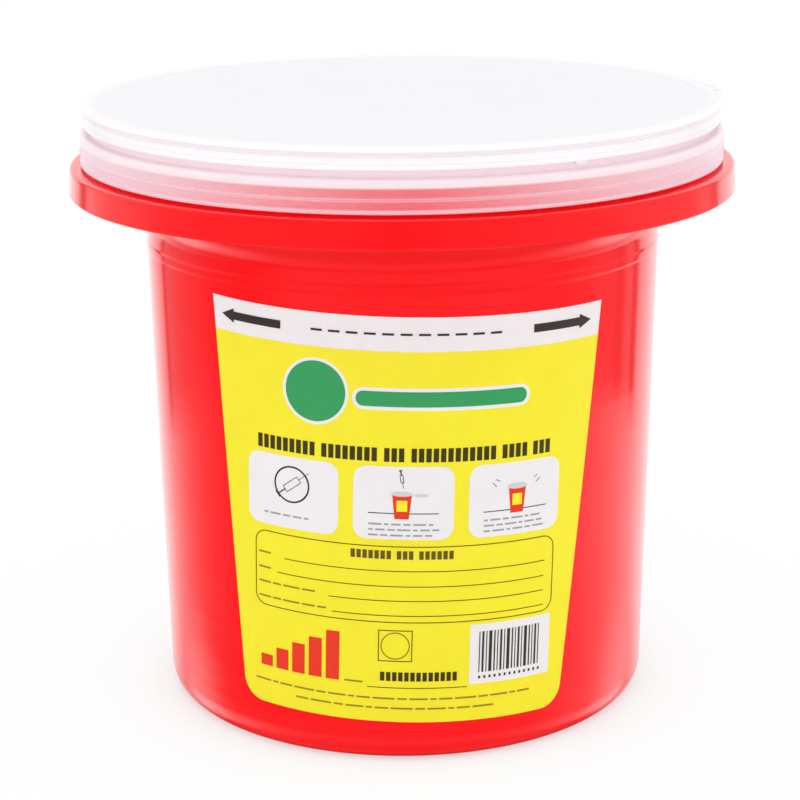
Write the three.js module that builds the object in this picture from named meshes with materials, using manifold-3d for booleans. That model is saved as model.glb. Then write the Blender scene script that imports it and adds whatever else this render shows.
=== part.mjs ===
// A small round sharps container: a red bucket, a translucent base lid pressed over its neck,
// a translucent closure cap on a living hinge, and a printed label on the front.
// Millimetres, +Z up, origin on the floor under the centre of the base, label facing -Y.

import * as THREE from 'three';
import { mergeVertices } from 'three/addons/utils/BufferGeometryUtils.js';
import Module from 'manifold-3d';

// ---- driving dimensions ---------------------------------------------------------------------

// Shared
const turnSegments = 60;             // facets round every turned piece
const arcSteps = 2;                  // halves of a rounded stretch, each cut in this many chords
const fitGap = 0.3;                  // between pieces that rest on each other

// Bucket
const bucketHeight = 137.4;          // floor to the rim of the neck
const wallRadiusAtFloor = 59.1;      // outer face of the tapered wall, carried down to the floor
const wallTaper = 0.021;             // growth of the radius per millimetre of height
const bucketWall = 1.5;
const baseCornerHeight = 5.6;        // where the rounded base corner meets the tapered wall
const footRadius = 54.8;             // outer edge of the ring that stands on the floor
const footWidth = 3.4;
const footHeight = 1.2;              // how far the base is lifted inside the foot ring
const neckHeight = 6.5;              // rim above the top of the flange
const flangeDepth = 6.4;             // height of the hanging flange
const flangeReach = 5.2;             // flange beyond the neck, at its lower edge
const flangeTaper = 0.4;             // flange is this much smaller in radius at its top
const flangeEdgeRound = 0.9;
const flareRadius = 8.8;             // hollow sweep from the wall out to the flange
const shelfRadius = 3.9;             // round from the sweep up into the neck
const bandWidth = 2.6;               // faint raised band under the sweep
const bandDrop = 2.4;                // sweep's lower end down to the band
const bandStep = 0.25;
const neckBeadHeight = 1.2;          // bead that the base lid is pressed over
const neckBeadDrop = 2.4;            // rim down to the bead's middle
const neckBeadStep = 0.35;

// Base lid
const lidWall = 1.2;
const lidSkirtClearance = 0.85;      // skirt to neck
const lidFloorClearance = 0.6;       // skirt's lower edge to the flange
const lidDeckThickness = 1.1;
const lidShoulderRound = 1.0;
const skirtBeadHeight = 0.75;        // thin raised line round the skirt
const skirtBeadRise = 2.7;           // skirt's lower edge up to that line
const skirtBeadStep = 0.25;
const capWallInset = 0.5;            // upright ring for the cap, in from the neck's outer face
const capWallHeight = 5.1;
const plugDepth = 3.2;               // ring that goes down inside the neck
const plugClearance = 0.35;
const dishInset = 10;                // raised margin round the sunken middle of the deck
const dishSlope = 2;
const dishDepth = 2.5;
const apertureRadius = 21;           // drop-in hole for the sharps
const notchWidths = [4.6, 6, 3.2];   // needle notches round the rear of the hole
const notchLength = 6;
const notchSpread = 40;              // degrees between notches
const collarRadius = 31.2;           // outer face of the ring round the hole
const collarHeight = 5;

// Closure cap
const capWall = 1.15;
const capClearance = 0.5;            // cap's skirt to the upright ring
const capDiscThickness = 1.2;
const capSeatGap = 0.4;              // disc over the upright ring
const capSkirtGap = 1.7;             // cap's lower edge above the deck
const capBandHeight = 2.6;           // full-width band at the foot of the cap's skirt
const capGrooveHeight = 1.4;
const capGrooveStep = 0.35;
const capRimRound = 1.0;
const capRingClearance = 0.6;        // cap's inner ring outside the collar
const capRingDepth = 5.2;
const gateNubAngle = -60;            // degrees from +X, a moulding gate left on the cap's lower edge
const gateNubWidth = 2.6;
const gateNubDrop = 0.5;

// Living hinge
const hingeAngle = 16;               // degrees from +X to the middle of the hinge
const hingeWidth = 21;
const hingeReach = 1.75;             // tabs beyond the base lid's skirt
const hingeLineGap = 0.3;            // tabs' outer faces to the fold line
const hingeTabGap = 0.9;             // between the two tabs, up and down
const hingeTabHeight = 4.4;
const filmRadius = 0.2;

// Label
const labelHeight = 96;
const labelTopWidth = 96.6;          // round the wall, from side to side
const labelBottomWidth = 79.4;
const labelCornerRadius = 5;
const labelTopDrop = 4.6;            // raised band down to the label's top edge
const labelTurn = -1.7;              // degrees, the label is stuck on slightly turned
const labelThickness = 0.4;

// ---- what follows from them -----------------------------------------------------------------

const wallRadius = (z) => wallRadiusAtFloor + wallTaper * z;

const flangeTop = bucketHeight - neckHeight;
const flangeBottom = flangeTop - flangeDepth;
const flareStart = flangeBottom - flareRadius;
const flareCentre = wallRadius(flareStart) + flareRadius;
const neckRadius = flareCentre + shelfRadius;
const neckInner = neckRadius - bucketWall;
const shelfCentreHeight = flangeBottom + shelfRadius;
const flangeRadius = neckRadius + flangeReach;
const bandTop = flareStart - bandDrop;
const bandBottom = bandTop - bandWidth;

const skirtInner = neckRadius + lidSkirtClearance;
const skirtOuter = skirtInner + lidWall;
const skirtBottom = flangeTop + lidFloorClearance;
const deckUnder = bucketHeight + fitGap;
const deckTop = deckUnder + lidDeckThickness;
const capWallOuter = neckRadius - capWallInset;
const capWallInner = capWallOuter - lidWall;
const capWallTop = deckTop + capWallHeight;
const plugOuter = neckInner - plugClearance;
const plugInner = plugOuter - lidWall;
const dishOuter = capWallInner - dishInset;
const dishFloor = deckTop - dishDepth;
const collarTop = dishFloor + collarHeight;

const capSkirtInner = capWallOuter + capClearance;
const capRadius = capSkirtInner + capWall;
const capUnder = capWallTop + capSeatGap;
const capTop = capUnder + capDiscThickness;
const capBottom = deckTop + capSkirtGap;
const capRingInner = collarRadius + capRingClearance;
const capRingOuter = capRingInner + capWall;

const tabFace = skirtOuter + hingeReach;
const foldRadius = tabFace + hingeLineGap;
const capTabBottom = capBottom - capSkirtGap / 4;
const lidTabTop = capTabBottom - hingeTabGap;
const foldHeight = (capTabBottom + lidTabTop) / 2;

// ---- solids ---------------------------------------------------------------------------------

const wasm = await Module();
wasm.setup();

// A closed three.js geometry as a solid that can be joined and cut.
function solid(geometry) {
  const bare = geometry.clone();
  bare.deleteAttribute('normal');
  bare.deleteAttribute('uv');
  const merged = mergeVertices(bare, 1e-5);
  const corners = merged.index.array;
  const kept = [];
  for (let i = 0; i < corners.length; i += 3) {
    const [a, b, c] = corners.slice(i, i + 3);
    if (a !== b && b !== c && c !== a) kept.push(a, b, c);
  }
  return new wasm.Manifold(new wasm.Mesh({
    numProp: 3,
    vertProperties: new Float32Array(merged.attributes.position.array),
    triVerts: new Uint32Array(kept),
  }));
}

// A named mesh of a solid, in its own material.
function piece(name, body, finish) {
  const mesh = body.getMesh();
  const geometry = new THREE.BufferGeometry();
  geometry.setAttribute('position', new THREE.BufferAttribute(mesh.vertProperties, 3));
  geometry.setIndex(new THREE.BufferAttribute(mesh.triVerts, 1));
  geometry.computeVertexNormals();
  const part = new THREE.Mesh(geometry, new THREE.MeshStandardMaterial(finish));
  part.name = name;
  return part;
}

// A section drawn as radius and height, turned about the Z axis.
function turned(section) {
  const points = section.getPoints(arcSteps);
  const geometry = new THREE.LatheGeometry(points, turnSegments);
  geometry.rotateX(Math.PI / 2);
  return solid(geometry);
}

// A flat outline raised from one height to another.
function raised(outline, from, to) {
  const geometry = new THREE.ExtrudeGeometry(outline, { depth: to - from, bevelEnabled: false });
  geometry.translate(0, 0, from);
  return solid(geometry);
}

// A block that stands out of a round skirt, from inside its wall to a flat outer face.
function tab(innerRadius, outerRadius, width, face, from, to, angle) {
  const half = width / 2;
  const root = (innerRadius + Math.sqrt(outerRadius ** 2 - half ** 2)) / 2;
  const outline = new THREE.Shape();
  outline.moveTo(root, -half);
  outline.lineTo(face, -half);
  outline.lineTo(face, half);
  outline.lineTo(root, half);
  outline.closePath();
  return raised(outline, from, to).rotate([0, 0, angle]);
}

// ---- bucket ---------------------------------------------------------------------------------

function bucket() {
  const s = new THREE.Path();
  const footInner = footRadius - footWidth;
  s.moveTo(0, footHeight);
  s.lineTo(footInner - footHeight, footHeight);
  s.lineTo(footInner, 0);
  s.lineTo(footRadius, 0);
  s.quadraticCurveTo(wallRadius(0), 0, wallRadius(baseCornerHeight), baseCornerHeight);
  s.lineTo(wallRadius(bandBottom), bandBottom);
  s.lineTo(wallRadius(bandBottom) + bandStep, bandBottom + bandStep);
  s.lineTo(wallRadius(bandTop) + bandStep, bandTop);
  s.lineTo(wallRadius(bandTop), bandTop + bandStep);
  s.lineTo(wallRadius(flareStart), flareStart);
  s.absarc(flareCentre, flareStart, flareRadius, Math.PI, Math.PI / 2, true);
  s.absarc(flareCentre, shelfCentreHeight, shelfRadius, -Math.PI / 2, 0, false);
  s.lineTo(neckRadius, flangeTop - bucketWall);
  s.lineTo(flangeRadius - bucketWall, flangeTop - bucketWall);
  s.lineTo(flangeRadius - bucketWall, flangeBottom);
  s.lineTo(flangeRadius, flangeBottom);
  s.lineTo(flangeRadius - flangeTaper, flangeTop - flangeEdgeRound);
  s.absarc(flangeRadius - flangeTaper - flangeEdgeRound, flangeTop - flangeEdgeRound, flangeEdgeRound,
    0, Math.PI / 2, false);
  s.lineTo(neckRadius, flangeTop);
  const beadMiddle = bucketHeight - neckBeadDrop;
  s.lineTo(neckRadius, beadMiddle - neckBeadHeight / 2);
  s.lineTo(neckRadius + neckBeadStep, beadMiddle);
  s.lineTo(neckRadius, beadMiddle + neckBeadHeight / 2);
  s.lineTo(neckRadius, bucketHeight - bucketWall / 2);
  s.absarc(neckRadius - bucketWall / 2, bucketHeight - bucketWall / 2, bucketWall / 2, 0, Math.PI, false);
  s.lineTo(neckInner, shelfCentreHeight);
  s.absarc(flareCentre, shelfCentreHeight, shelfRadius - bucketWall, 0, -Math.PI / 2, true);
  s.absarc(flareCentre, flareStart, flareRadius + bucketWall, Math.PI / 2, Math.PI, false);
  const innerFloor = footHeight + bucketWall;
  const innerCorner = baseCornerHeight + bucketWall;
  s.lineTo(wallRadius(innerCorner) - bucketWall, innerCorner);
  s.quadraticCurveTo(wallRadius(0) - bucketWall, innerFloor, footRadius - bucketWall, innerFloor);
  s.lineTo(0, innerFloor);
  return turned(s);
}

// ---- base lid -------------------------------------------------------------------------------

function baseLidShell() {
  const s = new THREE.Path();
  const beadBottom = skirtBottom + skirtBeadRise;
  const beadTop = beadBottom + skirtBeadHeight;
  const collarInner = collarRadius - lidWall;
  s.moveTo(skirtInner, skirtBottom);
  s.lineTo(skirtOuter, skirtBottom);
  s.lineTo(skirtOuter, beadBottom);
  s.lineTo(skirtOuter + skirtBeadStep, beadBottom + skirtBeadStep);
  s.lineTo(skirtOuter + skirtBeadStep, beadTop - skirtBeadStep);
  s.lineTo(skirtOuter, beadTop);
  s.lineTo(skirtOuter, deckTop - lidShoulderRound);
  s.absarc(skirtOuter - lidShoulderRound, deckTop - lidShoulderRound, lidShoulderRound, 0, Math.PI / 2, false);
  s.lineTo(capWallOuter, deckTop);
  s.lineTo(capWallOuter, capWallTop - lidWall / 2);
  s.absarc(capWallOuter - lidWall / 2, capWallTop - lidWall / 2, lidWall / 2, 0, Math.PI, false);
  s.lineTo(capWallInner, deckTop);
  s.lineTo(dishOuter, deckTop);
  s.lineTo(dishOuter - dishSlope, dishFloor);
  s.lineTo(collarRadius, dishFloor);
  s.lineTo(collarRadius, collarTop);
  s.lineTo(collarInner, collarTop);
  s.lineTo(collarInner, dishFloor);
  s.lineTo(apertureRadius, dishFloor);
  s.lineTo(apertureRadius, dishFloor - lidDeckThickness);
  s.lineTo(dishOuter - dishSlope, dishFloor - lidDeckThickness);
  s.lineTo(dishOuter, deckUnder);
  s.lineTo(plugInner, deckUnder);
  s.lineTo(plugInner, deckUnder - plugDepth);
  s.lineTo(plugOuter, deckUnder - plugDepth);
  s.lineTo(plugOuter, deckUnder);
  s.lineTo(skirtInner, deckUnder);
  s.lineTo(skirtInner, skirtBottom);
  return turned(s);
}

// A slot with a round end, from inside the hole out into the deck.
function needleNotch(width, angle) {
  const half = width / 2;
  const start = apertureRadius / 2;
  const end = apertureRadius + notchLength - half;
  const outline = new THREE.Shape();
  outline.moveTo(start, -half);
  outline.lineTo(end, -half);
  outline.absarc(end, 0, half, -Math.PI / 2, Math.PI / 2, false);
  outline.lineTo(start, half);
  outline.closePath();
  const slot = raised(outline, dishFloor - 2 * lidDeckThickness, dishFloor + lidDeckThickness);
  return slot.rotate([0, 0, angle]);
}

function baseLid() {
  const lidTab = tab(skirtInner, skirtOuter, hingeWidth, tabFace, lidTabTop - hingeTabHeight, lidTabTop, hingeAngle);
  let body = baseLidShell().add(lidTab);
  notchWidths.forEach((width, i) => {
    const angle = 90 + (i - (notchWidths.length - 1) / 2) * notchSpread;
    body = body.subtract(needleNotch(width, angle));
  });
  return body;
}

// ---- closure cap ----------------------------------------------------------------------------

function capShell() {
  const s = new THREE.Path();
  const bandEdge = capBottom + capBandHeight;
  const grooveRadius = capRadius - capGrooveStep;
  s.moveTo(0, capUnder);
  s.lineTo(capRingInner, capUnder);
  s.lineTo(capRingInner, capUnder - capRingDepth);
  s.lineTo(capRingOuter, capUnder - capRingDepth);
  s.lineTo(capRingOuter, capUnder);
  s.lineTo(capSkirtInner, capUnder);
  s.lineTo(capSkirtInner, capBottom);
  s.lineTo(capRadius, capBottom);
  s.lineTo(capRadius, bandEdge - capGrooveStep);
  s.lineTo(grooveRadius, bandEdge);
  s.lineTo(grooveRadius, bandEdge + capGrooveHeight - capGrooveStep);
  s.lineTo(capRadius, bandEdge + capGrooveHeight);
  s.lineTo(capRadius, capTop - capRimRound);
  s.absarc(capRadius - capRimRound, capTop - capRimRound, capRimRound, 0, Math.PI / 2, false);
  s.lineTo(0, capTop);
  return turned(s);
}

function closureCap() {
  const capTab = tab(capSkirtInner, capRadius, hingeWidth, tabFace, capTabBottom, capTabBottom + hingeTabHeight, hingeAngle);
  const nubTop = capBottom + capBandHeight / 2;
  const nub = tab(capSkirtInner, capRadius, gateNubWidth, capRadius, capBottom - gateNubDrop, nubTop, gateNubAngle);
  return capShell().add(capTab).add(nub);
}

// ---- hinge film -----------------------------------------------------------------------------

function hingeFilm() {
  const geometry = new THREE.CylinderGeometry(filmRadius, filmRadius, hingeWidth, 8);
  geometry.translate(foldRadius, 0, foldHeight);
  return solid(geometry).rotate([0, 0, hingeAngle]);
}

// ---- label ----------------------------------------------------------------------------------

// The label's outline as it looks straight from the front once it is wrapped round the wall.
function labelOutline() {
  const outline = new THREE.Shape();
  const top = labelHeight / 2;
  const topHalf = labelTopWidth / 2;
  const bottomHalf = labelBottomWidth / 2;
  const slope = (topHalf - bottomHalf) / labelHeight;
  const r = labelCornerRadius;
  outline.moveTo(topHalf, top);
  outline.lineTo(-topHalf, top);
  outline.lineTo(-bottomHalf - slope * r, r - top);
  outline.quadraticCurveTo(-bottomHalf, -top, r - bottomHalf, -top);
  outline.lineTo(bottomHalf - r, -top);
  outline.quadraticCurveTo(bottomHalf, -top, bottomHalf + slope * r, r - top);
  outline.closePath();
  const turn = THREE.MathUtils.degToRad(labelTurn);
  const middle = bandBottom - labelTopDrop - top;
  const radius = wallRadius(middle);
  const wrapped = outline.getPoints(arcSteps * 2).map((p) => {
    const turnedPoint = p.clone().rotateAround(new THREE.Vector2(0, 0), turn);
    return new THREE.Vector2(radius * Math.sin(turnedPoint.x / radius), middle + turnedPoint.y);
  });
  return new THREE.Shape(wrapped);
}

function label() {
  const low = bandBottom - labelTopDrop - labelHeight - labelCornerRadius;
  const high = bandBottom - labelTopDrop / 2;
  const s = new THREE.Path();
  s.moveTo(wallRadius(low) + fitGap, low);
  s.lineTo(wallRadius(low) + fitGap + labelThickness, low);
  s.lineTo(wallRadius(high) + fitGap + labelThickness, high);
  s.lineTo(wallRadius(high) + fitGap, high);
  s.closePath();
  const prism = new THREE.ExtrudeGeometry(labelOutline(), { depth: 2 * wallRadiusAtFloor, bevelEnabled: false });
  prism.rotateX(Math.PI / 2);
  return turned(s).intersect(solid(prism));
}

// ---- assembly -------------------------------------------------------------------------------

const redPlastic = { color: 0xe5141c, roughness: 0.28, metalness: 0 };
const milkyPlastic = { color: 0xf2eef0, roughness: 0.38, metalness: 0, transparent: true, opacity: 0.75 };
const printedFilm = { color: 0xf4ea3a, roughness: 0.3, metalness: 0 };

const container = new THREE.Group();
container.add(
  piece('bucket', bucket(), redPlastic),
  piece('base_lid', baseLid(), milkyPlastic),
  piece('closure_cap', closureCap(), milkyPlastic),
  piece('hinge_film', hingeFilm(), milkyPlastic),
  piece('front_label', label(), printedFilm),
);

export default container;
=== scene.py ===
import math

import bpy
from mathutils import Matrix, Vector


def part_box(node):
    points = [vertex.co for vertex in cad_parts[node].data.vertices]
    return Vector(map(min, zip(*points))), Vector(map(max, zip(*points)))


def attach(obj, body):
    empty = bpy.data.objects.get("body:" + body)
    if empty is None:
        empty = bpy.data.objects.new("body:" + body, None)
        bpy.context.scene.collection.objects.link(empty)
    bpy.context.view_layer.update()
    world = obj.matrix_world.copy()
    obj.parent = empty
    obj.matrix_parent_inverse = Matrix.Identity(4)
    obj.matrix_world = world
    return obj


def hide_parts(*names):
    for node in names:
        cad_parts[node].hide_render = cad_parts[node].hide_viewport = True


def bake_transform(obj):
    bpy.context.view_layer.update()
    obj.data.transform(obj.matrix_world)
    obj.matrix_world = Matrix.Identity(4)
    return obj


# A small round sharps container: a glossy red bucket, a milky base lid pressed over its neck,
# a milky closure cap on a living hinge, and a printed label. Metres, +Z up, label facing -Y.

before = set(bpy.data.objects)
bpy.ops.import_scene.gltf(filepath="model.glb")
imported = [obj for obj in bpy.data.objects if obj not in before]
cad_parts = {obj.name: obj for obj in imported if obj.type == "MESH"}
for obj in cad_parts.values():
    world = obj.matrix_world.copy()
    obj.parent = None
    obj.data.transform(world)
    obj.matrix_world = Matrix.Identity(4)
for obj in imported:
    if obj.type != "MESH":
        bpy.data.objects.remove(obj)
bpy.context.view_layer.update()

# ---- sizes --------------------------------------------------------------------------------------

MM = 0.001

bucket_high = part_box("bucket")[1]
lid_low, lid_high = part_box("base_lid")
cap_low, cap_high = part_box("closure_cap")

TURN_STEPS = 180                     # facets round every turned piece
ARC_STEP = math.radians(13)          # turn of one facet on a rounded corner
HOLD = 0.3 * MM                      # narrow facet that keeps a flat face flat beside a round
FULL_ROUND = 0.49                    # rounding, over the wall's thickness, that takes a rim right over
SMOOTH_LIMIT = math.radians(34)

# Materials
PLASTIC_IOR = 1.49
MILKY_SLANT = 0.68                   # the lower, the sooner milky plastic closes up at a slant
MILKY_SHADOW = 0.16                  # share of its own opacity that it casts as shadow

# Bucket
RIM_HEIGHT = bucket_high.z
FLANGE_RADIUS = bucket_high.x
WALL_RADIUS_AT_FLOOR = 59.1 * MM
WALL_TAPER = 0.021
BUCKET_WALL = 1.5 * MM
BASE_CORNER_HEIGHT = 5.6 * MM
FOOT_RADIUS = 54.8 * MM
FOOT_WIDTH = 3.4 * MM
FOOT_HEIGHT = 1.2 * MM
NECK_HEIGHT = 6.5 * MM
FLANGE_DEPTH = 6.4 * MM
FLANGE_REACH = 5.2 * MM
FLANGE_TAPER = 0.4 * MM
FLANGE_EDGE_ROUND = 0.9 * MM
FLARE_RADIUS = 8.8 * MM
SHELF_RADIUS = 3.9 * MM
BAND_WIDTH = 2.6 * MM
BAND_DROP = 2.4 * MM
BAND_STEP = 0.08 * MM
BAND_EDGE = 0.6 * MM                 # how gently the band rises from the wall
NECK_BEAD_HEIGHT = 1.2 * MM
NECK_BEAD_DROP = 2.4 * MM
NECK_BEAD_STEP = 0.35 * MM

FLANGE_TOP = RIM_HEIGHT - NECK_HEIGHT
FLANGE_BOTTOM = FLANGE_TOP - FLANGE_DEPTH
FLARE_START = FLANGE_BOTTOM - FLARE_RADIUS
NECK_RADIUS = FLANGE_RADIUS - FLANGE_REACH
NECK_INNER = NECK_RADIUS - BUCKET_WALL
BAND_TOP = FLARE_START - BAND_DROP
BAND_BOTTOM = BAND_TOP - BAND_WIDTH

# Base lid
LID_WALL = 1.2 * MM
LID_SKIRT_CLEARANCE = 0.85 * MM
LID_DECK = 1.1 * MM
LID_SHOULDER_ROUND = 1.0 * MM
FIT_GAP = 0.3 * MM
SKIRT_BEAD_HEIGHT = 0.75 * MM
SKIRT_BEAD_RISE = 2.7 * MM
SKIRT_BEAD_STEP = 0.25 * MM
SKIRT_LIP_HEIGHT = 0.75 * MM
SKIRT_LIP_STEP = 0.12 * MM
CAP_WALL_INSET = 0.5 * MM
PLUG_DEPTH = 3.2 * MM
PLUG_CLEARANCE = 0.35 * MM
DISH_INSET = 10 * MM
DISH_SLOPE = 2 * MM
DISH_DEPTH = 2.5 * MM
APERTURE_RADIUS = 21 * MM
NOTCH_WIDTHS = [4.6 * MM, 6 * MM, 3.2 * MM]
NOTCH_LENGTH = 6 * MM
NOTCH_SPREAD = math.radians(40)
COLLAR_RADIUS = 31.2 * MM
COLLAR_HEIGHT = 5 * MM

SKIRT_BOTTOM = lid_low.z
SKIRT_INNER = NECK_RADIUS + LID_SKIRT_CLEARANCE
SKIRT_OUTER = SKIRT_INNER + LID_WALL
DECK_UNDER = RIM_HEIGHT + FIT_GAP
DECK_TOP = DECK_UNDER + LID_DECK
CAP_WALL_OUTER = NECK_RADIUS - CAP_WALL_INSET
CAP_WALL_INNER = CAP_WALL_OUTER - LID_WALL
CAP_WALL_TOP = lid_high.z
PLUG_OUTER = NECK_INNER - PLUG_CLEARANCE
DISH_OUTER = CAP_WALL_INNER - DISH_INSET
DISH_FLOOR = DECK_TOP - DISH_DEPTH

# Closure cap
CAP_WALL = 1.15 * MM
CAP_CLEARANCE = 0.5 * MM
CAP_DISC = 1.2 * MM
CAP_SKIRT_GAP = 1.7 * MM
CAP_BAND_HEIGHT = 2.6 * MM
CAP_GROOVE_HEIGHT = 1.4 * MM
CAP_GROOVE_STEP = 0.35 * MM
CAP_LINE_DROP = 0.45 * MM            # fine line under the top edge of the cap's band
CAP_LINE_STEP = 0.08 * MM
CAP_RIM_ROUND = 1.0 * MM
CAP_RIM_WIDTH = 2.2 * MM             # flat margin that stands a little over the disc
CAP_RIM_STEP = 0.25 * MM
CAP_RING_CLEARANCE = 0.6 * MM
GATE_NUB_ANGLE = math.radians(-60)
GATE_NUB_WIDTH = 2.6 * MM
GATE_NUB_DROP = 0.5 * MM

CAP_TOP = cap_high.z
CAP_UNDER = CAP_TOP - CAP_DISC
CAP_SKIRT_INNER = CAP_WALL_OUTER + CAP_CLEARANCE
CAP_RADIUS = CAP_SKIRT_INNER + CAP_WALL
CAP_BOTTOM = DECK_TOP + CAP_SKIRT_GAP
CAP_RING_INNER = COLLAR_RADIUS + CAP_RING_CLEARANCE
CAP_RING_BOTTOM = cap_low.z

# Living hinge
HINGE_ANGLE = math.radians(16)
HINGE_WIDTH = 21 * MM
HINGE_REACH = 1.75 * MM
HINGE_LINE_GAP = 0.3 * MM
HINGE_TAB_GAP = 0.9 * MM
HINGE_TAB_HEIGHT = 4.4 * MM
HINGE_TAB_ROUND = 0.35 * MM
STRAP_OVERLAP = 2.6 * MM
STRAP_INSET = 1.2 * MM

TAB_FACE = SKIRT_OUTER + HINGE_REACH
CAP_TAB_BOTTOM = CAP_BOTTOM - CAP_SKIRT_GAP / 4
LID_TAB_TOP = CAP_TAB_BOTTOM - HINGE_TAB_GAP

# Label. The first five are in millimetres of the flat drawing: x to the right, y up from its middle
LABEL_HEIGHT = 96
LABEL_TOP_HALF = 48.3
LABEL_BOTTOM_HALF = 39.1
LABEL_CORNER = 5
LABEL_BAND_EDGE = 40.2               # lower edge of the unprinted top band
LABEL_TOP_DROP = 4.6 * MM
LABEL_TURN = math.radians(-1.7)
LABEL_STRIP = 2.4 * MM               # width of the strips that follow the wall's curve
FILM_LIFT = 0.03 * MM                # the film over the wall
FILM_THICKNESS = 0.1 * MM
INK_THICKNESS = 0.02 * MM
INK_LIFT = 0.03 * MM                 # one printed layer to the next

LABEL_MIDDLE = BAND_BOTTOM - LABEL_TOP_DROP - LABEL_HEIGHT * MM / 2


def wall_radius(height):
    return WALL_RADIUS_AT_FLOOR + WALL_TAPER * height


# ---- modelling helpers --------------------------------------------------------------------------

def start_alone():
    """Leaves nothing selected, so that the next operator acts only on the new piece."""
    if bpy.context.object and bpy.context.object.mode != "OBJECT":
        bpy.ops.object.mode_set(mode="OBJECT")
    bpy.ops.object.select_all(action="DESELECT")


def only(piece):
    start_alone()
    piece.select_set(True)
    bpy.context.view_layer.objects.active = piece


def edit_all(piece):
    """Opens a piece in edit mode with all of it selected."""
    only(piece)
    bpy.ops.object.mode_set(mode="EDIT")
    bpy.ops.mesh.select_all(action="SELECT")


def leave_edit():
    bpy.ops.object.mode_set(mode="OBJECT")


def named(piece, name):
    piece.name = name
    piece.data.name = name
    return piece


def settled(piece):
    """Puts the piece's place into its mesh."""
    only(piece)
    bpy.ops.object.transform_apply(location=True, rotation=True, scale=True)
    return piece


def block(name, size, place):
    """A block of that size about a place, to be worked on."""
    start_alone()
    bpy.ops.mesh.primitive_cube_add(size=1, location=(0, 0, 0))
    piece = named(bpy.context.object, name)
    piece.scale = size
    piece.location = place
    return settled(piece)


def applied(piece, kind, **settings):
    """Adds a modifier and applies it."""
    only(piece)
    modifier = piece.modifiers.new(kind.lower(), kind)
    for key, value in settings.items():
        setattr(modifier, key, value)
    bpy.ops.object.modifier_apply(modifier=modifier.name)
    return piece


def choose(piece, kind, test):
    """In edit mode, selects only the faces, edges or vertices that pass the test on their middle."""
    only(piece)
    bpy.ops.object.mode_set(mode="EDIT")
    bpy.ops.mesh.select_mode(type=kind)
    bpy.ops.mesh.select_all(action="DESELECT")
    leave_edit()
    mesh = piece.data
    if kind == "FACE":
        for face in mesh.polygons:
            face.select = test(face.center, face.normal)
    elif kind == "EDGE":
        for edge in mesh.edges:
            a, b = (mesh.vertices[i].co for i in edge.vertices)
            edge.select = test((a + b) / 2, (b - a).normalized())
    else:
        for vertex in mesh.vertices:
            vertex.select = test(vertex.co, vertex.normal)
    bpy.ops.object.mode_set(mode="EDIT")


def smooth(piece):
    only(piece)
    bpy.ops.object.shade_smooth_by_angle(angle=SMOOTH_LIMIT)
    return piece


def cleaned(piece):
    """Merges doubles and turns every face outwards."""
    edit_all(piece)
    bpy.ops.mesh.remove_doubles(threshold=0.001 * MM)
    bpy.ops.mesh.normals_make_consistent(inside=False)
    leave_edit()
    return piece


def joined(name, pieces):
    start_alone()
    for piece in pieces:
        piece.select_set(True)
    bpy.context.view_layer.objects.active = pieces[0]
    if len(pieces) > 1:
        bpy.ops.object.join()
    return named(bpy.context.object, name)


def arc(corner, before, after, rounding):
    """A corner of an outline as an arc, with a narrow facet held flat at each end that has room."""
    to_before = before - corner
    to_after = after - corner
    back = to_before.normalized()
    ahead = to_after.normalized()
    half = back.angle(ahead) / 2
    reach = rounding / math.tan(half)
    centre = corner + (back + ahead).normalized() * rounding / math.sin(half)
    first = corner + back * reach - centre
    sweep = math.pi - 2 * half
    side = 1 if back.x * ahead.y - back.y * ahead.x < 0 else -1
    steps = max(2, math.ceil(sweep / ARC_STEP))
    points = []
    if to_before.length > reach + 4 * HOLD:
        points.append(corner + back * (reach + HOLD))
    for i in range(steps + 1):
        turn = Matrix.Rotation(side * sweep * i / steps, 2)
        points.append(centre + turn @ first)
    if to_after.length > reach + 4 * HOLD:
        points.append(corner + ahead * (reach + HOLD))
    return points


def rounded(corners, closed=False):
    """An outline from its corners, each given as radius, height and how much it is rounded."""
    places = [Vector(corner[:2]) for corner in corners]
    count = len(corners)
    points = []
    for i, corner in enumerate(corners):
        rounding = corner[2] if len(corner) > 2 else 0
        if rounding:
            points += arc(places[i], places[i - 1], places[(i + 1) % count], rounding)
        else:
            points.append(places[i])
    if closed:
        points.append(points[0])
    return points


def curve(start, control, end, steps):
    """Points of a soft bend from start to end, which leaves and arrives towards control."""
    points = []
    for i in range(steps + 1):
        t = i / steps
        radius = (1 - t) ** 2 * start[0] + 2 * t * (1 - t) * control[0] + t ** 2 * end[0]
        height = (1 - t) ** 2 * start[1] + 2 * t * (1 - t) * control[1] + t ** 2 * end[1]
        points.append((radius, height))
    return points


def spun(name, outline):
    """Draws an outline of radius and height point by point, then turns it round the Z axis."""
    start_alone()
    first = Vector((outline[0][0], 0, outline[0][1]))
    bpy.ops.mesh.primitive_plane_add(size=MM, location=first)
    piece = named(bpy.context.object, name)
    edit_all(settled(piece))
    bpy.ops.mesh.select_mode(type="VERT")
    bpy.ops.mesh.merge(type="CENTER")
    last = first
    for radius, height in outline[1:]:
        place = Vector((radius, 0, height))
        bpy.ops.mesh.extrude_vertices_move(TRANSFORM_OT_translate={"value": place - last})
        last = place
    bpy.ops.mesh.select_all(action="SELECT")
    bpy.ops.mesh.spin(steps=TURN_STEPS, angle=2 * math.pi, center=(0, 0, 0), axis=(0, 0, 1))
    leave_edit()
    return cleaned(piece)


def turned_place(radius, angle, height):
    return Vector((radius * math.cos(angle), radius * math.sin(angle), height))


# ---- materials ----------------------------------------------------------------------------------

def feed(tree, value, socket):
    """Gives a node's input a number, a colour or another node's output."""
    if isinstance(value, bpy.types.NodeSocket):
        tree.links.new(value, socket)
    else:
        socket.default_value = (*value, 1) if socket.type == "RGBA" else value


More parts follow.
